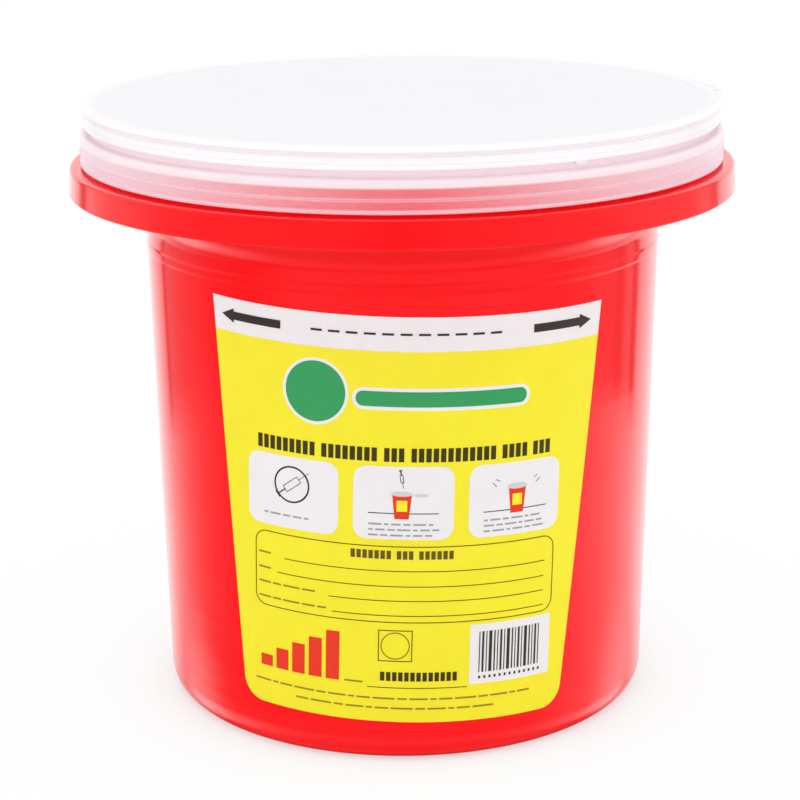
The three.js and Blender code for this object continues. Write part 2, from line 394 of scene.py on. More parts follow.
def fill(tree, node, **inputs):
    """Feeds a node's inputs, whose names are written with _ for a space."""
    for name, value in inputs.items():
        feed(tree, value, node.inputs[name.replace("_", " ")])
    return node


def add(tree, kind, settings=None, **inputs):
    """Adds a node with its settings and feeds its inputs."""
    node = tree.nodes.new("ShaderNode" + kind)
    for name, value in (settings or {}).items():
        setattr(node, name, value)
    return fill(tree, node, **inputs)


def shown(tree, shader, output="Material Output"):
    feed(tree, shader.outputs[0], tree.nodes[output].inputs["Surface"])


def new_material(name):
    """A node material with its tree, its Principled shader and the piece's own coordinates."""
    material = bpy.data.materials.new(name)
    material.use_nodes = True
    tree = material.node_tree
    return material, tree, tree.nodes["Principled BSDF"], add(tree, "TexCoord").outputs["Object"]


def noise(tree, place, scale, detail, stretch=(1, 1, 1)):
    """Noise of that many features to the metre, pulled out along an axis by stretch."""
    mapping = add(tree, "Mapping", Vector=place, Scale=stretch)
    return add(tree, "TexNoise", Vector=mapping.outputs["Vector"], Scale=scale, Detail=detail).outputs["Fac"]


def remap(tree, value, low, high, new_low, new_high):
    """Stretches the part of a value between low and high to a new range, and clips the rest."""
    node = add(tree, "MapRange", Value=value, From_Min=low, From_Max=high, To_Min=new_low, To_Max=new_high)
    return node.outputs["Result"]


def math_node(tree, operation, first, second=0):
    node = add(tree, "Math", {"operation": operation})
    feed(tree, first, node.inputs[0])
    feed(tree, second, node.inputs[1])
    return node.outputs["Value"]


def mixed_colour(tree, factor, first, second, blend="MIX"):
    settings = {"data_type": "RGBA", "blend_type": blend}
    return add(tree, "Mix", settings, Factor=factor, A=first, B=second).outputs["Result"]


def mixed_shader(tree, factor, first, second):
    node = add(tree, "MixShader", Fac=factor)
    feed(tree, first.outputs[0], node.inputs[1])
    feed(tree, second.outputs[0], node.inputs[2])
    return node


def ramp(tree, value, stops, strongest=1.0):
    """A level or a colour that changes along a value, from pairs of value and level or colour."""
    low = stops[0][0]
    high = stops[-1][0]
    node = add(tree, "ValToRGB", Fac=remap(tree, value, low, high, 0, 1))
    elements = node.color_ramp.elements
    while len(elements) < len(stops):
        elements.new(0.5)
    for element, (place, level) in zip(elements, stops):
        colour = level if isinstance(level, tuple) else (level, level, level)
        element.position = (place - low) / (high - low)
        element.color = (*(part / strongest for part in colour), 1)
    return node.outputs["Color"]


def bumped(tree, height, distance, strength, over=None):
    node = add(tree, "Bump", Height=height, Distance=distance, Strength=strength)
    if over is not None:
        feed(tree, over, node.inputs["Normal"])
    return node.outputs["Normal"]


def srgb(red, green, blue):
    """A colour given in the usual 0 to 255 steps, as linear light."""
    def linear(step):
        value = step / 255
        return value / 12.92 if value <= 0.04045 else ((value + 0.055) / 1.055) ** 2.4
    return linear(red), linear(green), linear(blue)


def red_plastic():
    """Glossy red polypropylene: faint clouds, smudges, long scuffs, moulding ripples and orange peel."""
    material, tree, shader, place = new_material("red_polypropylene")
    clouds = noise(tree, place, 22, 2)
    smudges = remap(tree, noise(tree, place, 55, 4), 0.3, 0.75, 0.055, 0.095)
    scuffs = remap(tree, noise(tree, place, 26, 6, (1, 1, 14)), 0.6, 0.72, 0, 0.06)
    ripples = bumped(tree, noise(tree, place, 9, 2, (1, 1, 12)), 0.12 * MM, 0.5)
    fill(
        tree, shader,
        Base_Color=mixed_colour(tree, clouds, srgb(248, 10, 18), srgb(251, 18, 26)),
        Roughness=math_node(tree, "ADD", smudges, scuffs),
        Normal=bumped(tree, noise(tree, place, 900, 2), 0.004 * MM, 0.6, ripples),
        IOR=PLASTIC_IOR)
    return material


def milky_plastic(name, opacities, tints, glow):
    """Natural polypropylene: part clear and part milky, by height, and milkier where seen edge on."""
    material, tree, shader, place = new_material(name)
    height = add(tree, "SeparateXYZ", Vector=place).outputs["Z"]
    shade = mixed_colour(tree, noise(tree, place, 40, 3), (1, 1, 1), (0.975, 0.975, 0.975))
    tint = mixed_colour(tree, 1.0, ramp(tree, height, tints), shade, "MULTIPLY")
    fill(
        tree, shader,
        Base_Color=tint,
        Roughness=remap(tree, noise(tree, place, 70, 4), 0.3, 0.75, 0.29, 0.39),
        Normal=bumped(tree, noise(tree, place, 25, 1), 0.02 * MM, 0.3),
        IOR=PLASTIC_IOR)
    milky = mixed_shader(tree, glow, shader, add(tree, "BsdfTranslucent", Color=tint))

    # a wall seen at a slant is looked through over a longer way, so it hides more
    facing = add(tree, "LayerWeight", Blend=0.5).outputs["Facing"]
    square_on = math_node(tree, "SUBTRACT", 1.0, math_node(tree, "POWER", facing, MILKY_SLANT))
    clear_share = math_node(tree, "SUBTRACT", 1.0, ramp(tree, height, opacities))
    uneven = remap(tree, noise(tree, place, 30, 2), 0.3, 0.7, 1.0, 0.92)
    looked_through = math_node(tree, "MULTIPLY", clear_share, square_on)
    looked_through = math_node(tree, "MULTIPLY", looked_through, uneven)
    alpha = math_node(tree, "SUBTRACT", 1.0, looked_through)

    # much of the light that is not seen through still passes, scattered, to what lies behind
    shadow_ray = add(tree, "LightPath").outputs["Is Shadow Ray"]
    alpha = math_node(tree, "MULTIPLY", alpha, remap(tree, shadow_ray, 0, 1, 1, MILKY_SHADOW))
    shown(tree, mixed_shader(tree, alpha, add(tree, "BsdfTransparent"), milky))
    return material


def lid_plastic():
    """Thin and clear on the skirt, thick and white on the lip, the bead, the deck and the upright ring, with
    painted pink from the red neck.
    """
    bead_low = SKIRT_BOTTOM + SKIRT_BEAD_RISE
    bead_high = bead_low + SKIRT_BEAD_HEIGHT
    lip_top = SKIRT_BOTTOM + SKIRT_LIP_HEIGHT
    shoulder = DECK_TOP - 1.6 * MM
    opacities = [
        (SKIRT_BOTTOM, 0.46), (lip_top, 0.46), (lip_top + 0.2 * MM, 0.02), (bead_low - 0.1 * MM, 0.02),
        (bead_low, 0.13), (bead_high, 0.13), (bead_high + 0.1 * MM, 0.02), (shoulder - 0.5 * MM, 0.02),
        (shoulder, 0.78), (DECK_TOP - 0.1 * MM, 0.88), (CAP_WALL_TOP, 0.95),
    ]
    # painted light: the pink in these tints is painted red light from the neck and flange, faint on the
    # skirt and deck and strongest on the ring seen in the gap under the cap
    skirt = srgb(247, 231, 240)
    deck = srgb(248, 238, 240)
    ring = srgb(252, 230, 237)
    tints = [
        (SKIRT_BOTTOM, skirt), (shoulder - 0.5 * MM, skirt), (shoulder, deck), (DECK_TOP - 0.1 * MM, deck),
        (DECK_TOP + 0.2 * MM, ring), (CAP_BOTTOM + 1.2 * MM, ring),
        (CAP_BOTTOM + 2 * MM, deck), (CAP_WALL_TOP, deck),
    ]
    return milky_plastic("milky_lid_plastic", opacities, tints, 0.1)


def cap_plastic():
    """Thicker and whiter than the lid; a painted highlight whitens the rim and the wall above the groove, so
    the disc is a little less white, and painted grey shade darkens the groove and two thin lines on the
    band.
    """
    groove_low = CAP_BOTTOM + CAP_BAND_HEIGHT
    groove_high = groove_low + CAP_GROOVE_HEIGHT
    disc = CAP_TOP - CAP_RIM_STEP
    # painted light: the rim's brighter white is a painted highlight, and the grey is painted shade in the
    # groove, along the band's lower edge and in a thin line across the band
    rim_painted_highlight = srgb(254, 252, 254)
    white = srgb(249, 246, 248)
    painted_shade_grey = srgb(242, 233, 238)
    disc_white = srgb(249, 247, 250)
    opacities = [
        (CAP_RING_BOTTOM, 0.85), (CAP_BOTTOM - GATE_NUB_DROP, 1.0), (groove_low, 1.0),
        (groove_low + 0.2 * MM, 0.9), (groove_high - 0.3 * MM, 0.9), (groove_high, 1.0), (CAP_TOP, 1.0),
    ]
    tints = [
        (CAP_RING_BOTTOM, white), (CAP_BOTTOM + 0.2 * MM, painted_shade_grey), (CAP_BOTTOM + 0.4 * MM, white),
        (CAP_BOTTOM + 1.2 * MM, white), (CAP_BOTTOM + 1.35 * MM, painted_shade_grey), (CAP_BOTTOM + 1.5 * MM, white),
        (groove_low, white), (groove_low + 0.2 * MM, painted_shade_grey),
        (groove_high - 0.3 * MM, painted_shade_grey), (groove_high, rim_painted_highlight), (disc - 0.2 * MM, rim_painted_highlight),
        (disc - 0.1 * MM, disc_white), (disc + 0.05 * MM, disc_white),
        (disc + 0.15 * MM, rim_painted_highlight), (CAP_TOP, rim_painted_highlight),
    ]
    return milky_plastic("milky_cap_plastic", opacities, tints, 0.08)


def printed_film(name, colour, worn=0.0):
    """Glossy printed film: even ink with faint mottling, fine grain and a few worn flecks."""
    material, tree, shader, place = new_material(name)
    shade = remap(tree, noise(tree, place, 160, 4), 0.35, 0.65, 0, 1)
    ink = mixed_colour(tree, shade, colour, tuple(0.975 * part for part in colour))
    if worn:
        chips = remap(tree, noise(tree, place, 210, 2), 0.79, 0.8, 0, worn)
        ink = mixed_colour(tree, chips, ink, srgb(240, 238, 238))
    waves = bumped(tree, noise(tree, place, 35, 2), 0.03 * MM, 0.5)
    fill(
        tree, shader,
        Base_Color=ink,
        Roughness=remap(tree, noise(tree, place, 60, 4), 0.3, 0.7, 0.3, 0.42),
        Normal=bumped(tree, noise(tree, place, 1500, 2), 0.003 * MM, 0.5, waves),
        Specular_IOR_Level=0.35)
    return material


def finish(piece, material, body):
    """Gives a piece its material and its body."""
    piece.data.materials.clear()
    piece.data.materials.append(material)
    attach(piece, body)
    return piece


# ---- bucket -------------------------------------------------------------------------------------

def bucket_outline():
    foot_inner = FOOT_RADIUS - FOOT_WIDTH
    gate_radius = 2.2 * MM
    gate_height = 0.5 * MM
    ring_radius = 22 * MM
    ring_step = 0.25 * MM
    underside = rounded([
        (0, FOOT_HEIGHT - gate_height),
        (gate_radius, FOOT_HEIGHT - gate_height, 0.2 * MM),
        (gate_radius + gate_height / 2, FOOT_HEIGHT, 0.2 * MM),
        (ring_radius, FOOT_HEIGHT, 0.1 * MM),
        (ring_radius + ring_step, FOOT_HEIGHT + ring_step, 0.1 * MM),
        (foot_inner - FOOT_HEIGHT - ring_step, FOOT_HEIGHT + ring_step, 0.5 * MM),
        (foot_inner, 0, 0.4 * MM),
        (FOOT_RADIUS - HOLD, 0),
    ])
    corner = curve(
        (FOOT_RADIUS, 0), (WALL_RADIUS_AT_FLOOR, 0),
        (wall_radius(BASE_CORNER_HEIGHT), BASE_CORNER_HEIGHT), 10)
    bead = RIM_HEIGHT - NECK_BEAD_DROP
    half_bead = NECK_BEAD_HEIGHT / 2
    flange_inner = FLANGE_RADIUS - BUCKET_WALL
    flare_inner = wall_radius(FLANGE_BOTTOM) - BUCKET_WALL
    lower_inner = BASE_CORNER_HEIGHT + BUCKET_WALL
    outside = rounded([
        corner[-1],
        (wall_radius(BASE_CORNER_HEIGHT + 2 * HOLD), BASE_CORNER_HEIGHT + 2 * HOLD),
        (wall_radius(BAND_BOTTOM), BAND_BOTTOM, 2 * MM),
        (wall_radius(BAND_BOTTOM) + BAND_STEP, BAND_BOTTOM + BAND_EDGE, 2 * MM),
        (wall_radius(BAND_TOP) + BAND_STEP, BAND_TOP - BAND_EDGE, 2 * MM),
        (wall_radius(BAND_TOP), BAND_TOP, 2 * MM),
        (wall_radius(FLANGE_BOTTOM), FLANGE_BOTTOM, FLARE_RADIUS),
        (NECK_RADIUS, FLANGE_BOTTOM, SHELF_RADIUS),
        (NECK_RADIUS, FLANGE_TOP - BUCKET_WALL, 0.3 * MM),
        (flange_inner, FLANGE_TOP - BUCKET_WALL, 0.5 * MM),
        (flange_inner, FLANGE_BOTTOM, 0.25 * MM),
        (FLANGE_RADIUS, FLANGE_BOTTOM, 0.45 * MM),
        (FLANGE_RADIUS - FLANGE_TAPER, FLANGE_TOP, FLANGE_EDGE_ROUND),
        (NECK_RADIUS, FLANGE_TOP, 0.4 * MM),
        (NECK_RADIUS, bead - half_bead, 0.2 * MM),
        (NECK_RADIUS + NECK_BEAD_STEP, bead, 0.3 * MM),
        (NECK_RADIUS, bead + half_bead, 0.2 * MM),
        (NECK_RADIUS, RIM_HEIGHT, FULL_ROUND * BUCKET_WALL),
        (NECK_INNER, RIM_HEIGHT, FULL_ROUND * BUCKET_WALL),
        (NECK_INNER, FLANGE_BOTTOM + BUCKET_WALL, SHELF_RADIUS - BUCKET_WALL),
        (flare_inner, FLANGE_BOTTOM + BUCKET_WALL, FLARE_RADIUS + BUCKET_WALL),
        (wall_radius(lower_inner) - BUCKET_WALL, lower_inner),
    ])
    floor_height = FOOT_HEIGHT + BUCKET_WALL
    inside = curve(
        (wall_radius(lower_inner) - BUCKET_WALL, lower_inner - HOLD),
        (WALL_RADIUS_AT_FLOOR - BUCKET_WALL, floor_height),
        (FOOT_RADIUS - BUCKET_WALL, floor_height), 8)
    return underside + corner + outside[1:] + inside + [(0, floor_height)]


def make_bucket(material):
    piece = smooth(spun("bucket_shell", bucket_outline()))
    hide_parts("bucket")
    return finish(piece, material, "bucket_body")


# ---- hinge tabs and strap -----------------------------------------------------------------------

def pull_tab(piece, radius, low):
    """Pulls a hinge tab out of a round skirt, from a height up, to a flat outer face."""
    out = turned_place(1, HINGE_ANGLE, 0)
    along = turned_place(1, HINGE_ANGLE + math.pi / 2, 0)

    def on_skirt(centre, normal):
        outer = (centre.xy.length - radius) > -0.3 * MM and centre.dot(out) > 0
        in_tab = abs(centre.dot(along)) < HINGE_WIDTH / 2 and low < centre.z < low + HINGE_TAB_HEIGHT
        return outer and in_tab and normal.dot(out) > 0.5

    choose(piece, "FACE", on_skirt)
    bpy.ops.mesh.extrude_region_move(TRANSFORM_OT_translate={"value": out * MM})
    leave_edit()
    for vertex in piece.data.vertices:
        if vertex.select:
            vertex.co += out * (TAB_FACE - vertex.co.dot(out))
    bpy.ops.object.mode_set(mode="EDIT")
    bpy.ops.mesh.region_to_loop()
    bpy.ops.mesh.bevel(offset=HINGE_TAB_ROUND, segments=3, affect="EDGES")
    leave_edit()


def hinge_strap(material):
    """The thin web that joins the two tabs, thinnest on the fold line."""
    low = LID_TAB_TOP - STRAP_OVERLAP
    high = CAP_TAB_BOTTOM + STRAP_OVERLAP
    fold = (LID_TAB_TOP + CAP_TAB_BOTTOM) / 2
    thickness = HINGE_LINE_GAP * 0.9
    size = (thickness, HINGE_WIDTH - 2 * STRAP_INSET, high - low)
    piece = block("hinge_strap", size, (TAB_FACE + thickness / 2, 0, (low + high) / 2))
    edit_all(piece)
    for i in range(-4, 5):
        bpy.ops.mesh.select_all(action="SELECT")
        bpy.ops.mesh.bisect(plane_co=(0, 0, fold + 0.15 * i * HINGE_TAB_GAP), plane_no=(0, 0, 1))
    leave_edit()
    for vertex in piece.data.vertices:
        near = max(0.0, 1 - abs(vertex.co.z - fold) / (0.4 * HINGE_TAB_GAP))
        if vertex.co.x < TAB_FACE + thickness / 2:
            vertex.co.x += 0.4 * thickness * near
    piece.rotation_euler.z = HINGE_ANGLE
    settled(piece)
    applied(piece, "BEVEL", width=0.06 * MM, segments=2, limit_method="ANGLE", angle_limit=math.radians(60))
    smooth(cleaned(piece))
    piece.data.materials.append(material)
    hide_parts("hinge_film")
    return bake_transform(piece)


# ---- base lid -----------------------------------------------------------------------------------

def base_lid_outline():
    bead_low = SKIRT_BOTTOM + SKIRT_BEAD_RISE
    bead_high = bead_low + SKIRT_BEAD_HEIGHT
    lip_top = SKIRT_BOTTOM + SKIRT_LIP_HEIGHT
    collar_inner = COLLAR_RADIUS - LID_WALL
    collar_top = DISH_FLOOR + COLLAR_HEIGHT
    plug_inner = PLUG_OUTER - LID_WALL
    plug_bottom = DECK_UNDER - PLUG_DEPTH
    dish_under = DISH_FLOOR - LID_DECK
    tab_low = LID_TAB_TOP - HINGE_TAB_HEIGHT
    return rounded([
        (SKIRT_INNER, SKIRT_BOTTOM, 0.3 * MM),
        (SKIRT_OUTER + SKIRT_LIP_STEP, SKIRT_BOTTOM, 0.35 * MM),
        (SKIRT_OUTER + SKIRT_LIP_STEP, lip_top, 0.1 * MM),
        (SKIRT_OUTER, lip_top + 0.25 * MM, 0.1 * MM),
        (SKIRT_OUTER, bead_low, 0.08 * MM),
        (SKIRT_OUTER + SKIRT_BEAD_STEP, bead_low + 0.3 * SKIRT_BEAD_HEIGHT, 0.12 * MM),
        (SKIRT_OUTER + SKIRT_BEAD_STEP, bead_high - 0.3 * SKIRT_BEAD_HEIGHT, 0.12 * MM),
        (SKIRT_OUTER, bead_high, 0.08 * MM),
        (SKIRT_OUTER, tab_low),
        (SKIRT_OUTER, DECK_TOP, LID_SHOULDER_ROUND),
        (CAP_WALL_OUTER, DECK_TOP, 0.3 * MM),
        (CAP_WALL_OUTER, CAP_WALL_TOP, FULL_ROUND * LID_WALL),
        (CAP_WALL_INNER, CAP_WALL_TOP, FULL_ROUND * LID_WALL),
        (CAP_WALL_INNER, DECK_TOP, 0.4 * MM),
        (DISH_OUTER, DECK_TOP, 0.6 * MM),
        (DISH_OUTER - DISH_SLOPE, DISH_FLOOR, 0.6 * MM),
        (COLLAR_RADIUS, DISH_FLOOR, 0.4 * MM),
        (COLLAR_RADIUS, collar_top, FULL_ROUND * LID_WALL),
        (collar_inner, collar_top, FULL_ROUND * LID_WALL),
        (collar_inner, DISH_FLOOR, 0.4 * MM),
        (APERTURE_RADIUS, DISH_FLOOR, 0.25 * MM),
        (APERTURE_RADIUS, dish_under, 0.25 * MM),
        (DISH_OUTER - DISH_SLOPE, dish_under, 0.6 * MM),
        (DISH_OUTER, DECK_UNDER, 0.6 * MM),
        (plug_inner, DECK_UNDER, 0.3 * MM),
        (plug_inner, plug_bottom, 0.3 * MM),
        (PLUG_OUTER, plug_bottom, 0.5 * MM),
        (PLUG_OUTER, DECK_UNDER, 0.15 * MM),
        (SKIRT_INNER, DECK_UNDER, 0.3 * MM),
    ], closed=True)


def notch_cutter(width, angle):
    """A round-ended bar that cuts one needle notch out of the edge of the hole."""
    length = APERTURE_RADIUS / 2 + NOTCH_LENGTH
    place = (APERTURE_RADIUS / 2 + length / 2, 0, DISH_FLOOR)
    bar = block("notch_cutter", (length, width, 4 * LID_DECK), place)
    end = APERTURE_RADIUS + NOTCH_LENGTH
    choose(bar, "EDGE", lambda middle, along: abs(along.z) > 0.9 and middle.x > end - MM)
    bpy.ops.mesh.bevel(offset=0.499 * width, segments=12, affect="EDGES")
    leave_edit()
    bar.rotation_euler.z = angle
    return settled(bar)


def make_base_lid(material):
    piece = spun("base_lid_shell", base_lid_outline())
    middle = (len(NOTCH_WIDTHS) - 1) / 2
    for i, width in enumerate(NOTCH_WIDTHS):
        cutter = notch_cutter(width, math.pi / 2 + (i - middle) * NOTCH_SPREAD)
        applied(piece, "BOOLEAN", operation="DIFFERENCE", object=cutter, solver="EXACT")
        bpy.data.objects.remove(cutter)
    pull_tab(piece, SKIRT_OUTER, LID_TAB_TOP - HINGE_TAB_HEIGHT)
    smooth(cleaned(piece))
    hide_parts("base_lid")
    return finish(piece, material, "lid_body")


# ---- closure cap --------------------------------------------------------------------------------

def cap_outline():
    band_edge = CAP_BOTTOM + CAP_BAND_HEIGHT
    line = band_edge - CAP_LINE_DROP
    groove_radius = CAP_RADIUS - CAP_GROOVE_STEP
    groove_top = band_edge + CAP_GROOVE_HEIGHT
    ring_outer = CAP_RING_INNER + CAP_WALL
    disc_edge = CAP_RADIUS - CAP_RIM_WIDTH
    return rounded([
        (0, CAP_UNDER),
        (CAP_RING_INNER, CAP_UNDER, 0.3 * MM),
        (CAP_RING_INNER, CAP_RING_BOTTOM, 0.3 * MM),
        (ring_outer, CAP_RING_BOTTOM, 0.3 * MM),
        (ring_outer, CAP_UNDER, 0.3 * MM),
        (CAP_SKIRT_INNER, CAP_UNDER, 0.3 * MM),
        (CAP_SKIRT_INNER, CAP_BOTTOM, 0.3 * MM),
        (CAP_RADIUS, CAP_BOTTOM, 0.3 * MM),
        (CAP_RADIUS, line - CAP_LINE_STEP),
        (CAP_RADIUS - CAP_LINE_STEP, line),
        (CAP_RADIUS, line + CAP_LINE_STEP),
        (CAP_RADIUS, band_edge - 0.1 * MM, 0.1 * MM),
        (groove_radius, band_edge + 0.15 * MM, 0.1 * MM),
        (groove_radius, groove_top - CAP_GROOVE_STEP, 0.15 * MM),
        (CAP_RADIUS, groove_top, 0.15 * MM),
        (CAP_RADIUS, CAP_TOP, 0.85 * CAP_RIM_ROUND),
        (disc_edge, CAP_TOP, 0.3 * MM),
        (disc_edge - 2 * CAP_RIM_STEP, CAP_TOP - CAP_RIM_STEP, 0.3 * MM),
        (0, CAP_TOP - CAP_RIM_STEP),
    ])


def gate_nub(material):
    """The small moulding gate left on the cap's lower edge."""
    height = GATE_NUB_DROP + CAP_BAND_HEIGHT / 3
    depth = CAP_WALL * 0.8
    place = (CAP_RADIUS - depth / 2 + 0.05 * MM, 0, CAP_BOTTOM - GATE_NUB_DROP + height / 2)
    piece = block("gate_nub", (depth, GATE_NUB_WIDTH, height), place)
    choose(piece, "EDGE", lambda middle, along: abs(along.x) > 0.9)
    bpy.ops.mesh.bevel(offset=0.45 * MM, segments=4, affect="EDGES")
    leave_edit()
    piece.rotation_euler.z = GATE_NUB_ANGLE
    settled(piece)
    smooth(cleaned(piece))
    return finish(piece, material, "cap_body")


def make_closure_cap(material):
    piece = spun("closure_cap_shell", cap_outline())
    pull_tab(piece, CAP_RADIUS, CAP_TAB_BOTTOM)
    smooth(cleaned(piece))
    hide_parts("closure_cap")
    return finish(piece, material, "cap_body")


# ---- label drawing, flat and in millimetres -----------------------------------------------------

def box_shape(left, right, low, high, rounding=0.0):
    """A flat rectangle between those sides, with round corners if wanted."""
    left, right, low, high, rounding = (value * MM for value in (left, right, low, high, rounding))
    start_alone()
    bpy.ops.mesh.primitive_plane_add(size=1, location=((left + right) / 2, (low + high) / 2, 0))
    shape = bpy.context.object
    shape.scale = (right - left, high - low, 1)
    settled(shape)
    if rounding:
        edit_all(shape)
        bpy.ops.mesh.bevel(offset=rounding, segments=7, affect="VERTICES")
        leave_edit()
    return shape


def disc_shape(x, y, across, up, corners=40):
    """A flat disc or oval, given by half its width and half its height."""
    start_alone()
    bpy.ops.mesh.primitive_circle_add(vertices=corners, radius=1, fill_type="NGON")
    shape = bpy.context.object
    shape.location = (x * MM, y * MM, 0)
    shape.scale = (across * MM, up * MM, 1)
    return settled(shape)


def corner_shape(corners):
    """A flat shape with those corners, given anticlockwise."""
    shape = disc_shape(0, 0, 1, 1, len(corners))
    for vertex, (x, y) in zip(shape.data.vertices, corners):
        vertex.co = (x * MM, y * MM, 0)
    return shape


def hollowed(shape, line):
    """Leaves only a line of that width along the shape's edge."""
    edit_all(shape)
    bpy.ops.mesh.inset(thickness=line * MM)
    bpy.ops.mesh.delete(type="FACE")
    leave_edit()
    return shape


def line_shape(start, end, width):
    """A straight line between two points."""
    start, end = Vector(start), Vector(end)
    along = end - start
    shape = box_shape(-along.length / 2, along.length / 2, -width / 2, width / 2)
    shape.rotation_euler.z = math.atan2(along.y, along.x)
    shape.location = ((start + end) / 2 * MM).to_3d()
    return settled(shape)


def bisected(shape, normal, low, high, step):
    """Cuts a flat drawing into strips across one direction."""
    edit_all(shape)
    place = low
    while place < high:
        bpy.ops.mesh.select_all(action="SELECT")
        bpy.ops.mesh.bisect(plane_co=Vector(normal) * place, plane_no=normal)
        place += step
    leave_edit()


def wrapped(shape, proud):
    """Lays a flat drawing on the tapered wall, without stretching it, and proud of the wall."""
    slope = math.atan(WALL_TAPER)
    apex = WALL_RADIUS_AT_FLOOR / WALL_TAPER
    reach = (apex + LABEL_MIDDLE) / math.cos(slope)
    turn = Matrix.Rotation(LABEL_TURN, 3, "Z")
    for vertex in shape.data.vertices:
        place = turn @ vertex.co
        slant = math.hypot(place.x, reach + place.y)
        angle = math.atan2(place.x, reach + place.y) / math.sin(slope)
        lift = proud + place.z
        radius = slant * math.sin(slope) + lift * math.cos(slope)
        height = slant * math.cos(slope) - apex - lift * math.sin(slope)
        vertex.co = (radius * math.sin(angle), -radius * math.cos(angle), height)


def printed(name, shapes, layer, material, thickness=INK_THICKNESS):
    """Joins flat shapes into one thin printed layer on the wall; layer 0 is the film itself."""
    shape = joined(name, shapes)
    bisected(shape, (1, 0, 0), -48 * MM, 48.1 * MM, LABEL_STRIP)
    bisected(shape, (0, 1, 0), -42 * MM, 42.1 * MM, 5 * LABEL_STRIP)
    cleaned(shape)
    applied(shape, "SOLIDIFY", thickness=thickness, offset=1)
    if layer == 0:
        proud = FILM_LIFT
    else:
        proud = FILM_LIFT + FILM_THICKNESS + (layer - 1) * INK_LIFT + 0.01 * MM
    wrapped(shape, proud)
    smooth(shape)
    return finish(shape, material, "bucket_body")


def label_side(height):
    """Half the label's width at a height from its middle."""
    share = (height + LABEL_HEIGHT / 2) / LABEL_HEIGHT
    return LABEL_BOTTOM_HALF + (LABEL_TOP_HALF - LABEL_BOTTOM_HALF) * share


def sheet_shape(top, edge):
    """The label's outline up to a height, drawn in from its edge, with its lower corners rounded."""
    low = edge - LABEL_HEIGHT / 2
    shape = corner_shape([
        (edge - label_side(low), low), (label_side(low) - edge, low),
        (label_side(top) - edge, top), (edge - label_side(top), top),
    ])
    choose(shape, "VERT", lambda place, normal: place.y < 0)
    bpy.ops.mesh.bevel(offset=LABEL_CORNER * MM, segments=8, affect="VERTICES")
    leave_edit()
    return shape


def arrow(tip, head_base, tail, height):
    """A plain fill-line arrow along x."""
    head = 1.65
    shaft = 0.95
    corners = [
        (tip, height), (head_base, height + head), (head_base, height + shaft), (tail, height + shaft),
        (tail, height - shaft), (head_base, height - shaft), (head_base, height - head),
    ]
    return corner_shape(corners[::-1] if tip > tail else corners)


def small_container(x, y, width, height):
    """Outline of a little bucket that stands at x, y."""
    low = 0.36 * width
    high = 0.5 * width
    return corner_shape([(x - low, y), (x + low, y), (x + high, y + height), (x - high, y + height)])


def small_syringe(x, y, length, turn):
    """A little syringe with its needle, turned about its middle."""
    barrel = 0.17 * length
    parts = [
        hollowed(box_shape(-0.2 * length, 0.22 * length, -barrel / 2, barrel / 2), 0.16),
        line_shape((0.22 * length, 0), (0.5 * length, 0), 0.13),
        line_shape((-0.2 * length, 0), (-0.42 * length, 0), 0.3),
        line_shape((-0.42 * length, -barrel / 2), (-0.42 * length, barrel / 2), 0.25),
    ]
    for part in parts:
        part.rotation_euler.z = math.radians(turn)
        part.location = (x * MM, y * MM, 0)
        settled(part)
    return parts


def form_outline():
    """The form's round-cornered frame and its four rules."""
    rules = [(-28.2, 33.6, -11.0), (-30.0, 33.4, -14.7), (-17.2, 33.4, -18.2), (-16.4, 33.6, -21.8)]
    frame_line = hollowed(box_shape(-36, 36, -23.5, -5, 3), 0.22)
    return [frame_line] + [line_shape((left, y), (right, y), 0.2) for left, right, y in rules]


def word_marks(left, right, height, size, gap, widths):
    """Short plain strokes in a row, in place of a line of words."""
    shapes = []
    x = left
    i = 0
    while x + widths[i % len(widths)] <= right:
        width = widths[i % len(widths)]
        shapes.append(box_shape(x, x + width, height - size / 2, height + size / 2))
        x += width + gap
        i += 1
    return shapes


def block_row(left, height, size, pitch, runs):
    """Runs of upright blocks, in place of a line of bold words."""
    shapes = []
    for count in runs:
        right = left + count * pitch
        shapes += word_marks(left, right, height, size, 0.28 * pitch, [0.72 * pitch])
        left = right + 0.7 * pitch
    return shapes


def fine_rows(left, right, heights, widths):
    """Rows of hair-thin strokes, where the small words would stand."""
    shapes = []
    for i, height in enumerate(heights):
        shapes += word_marks(left, right, height, 0.42, 0.6, widths[i:] + widths[:i])
    return shapes


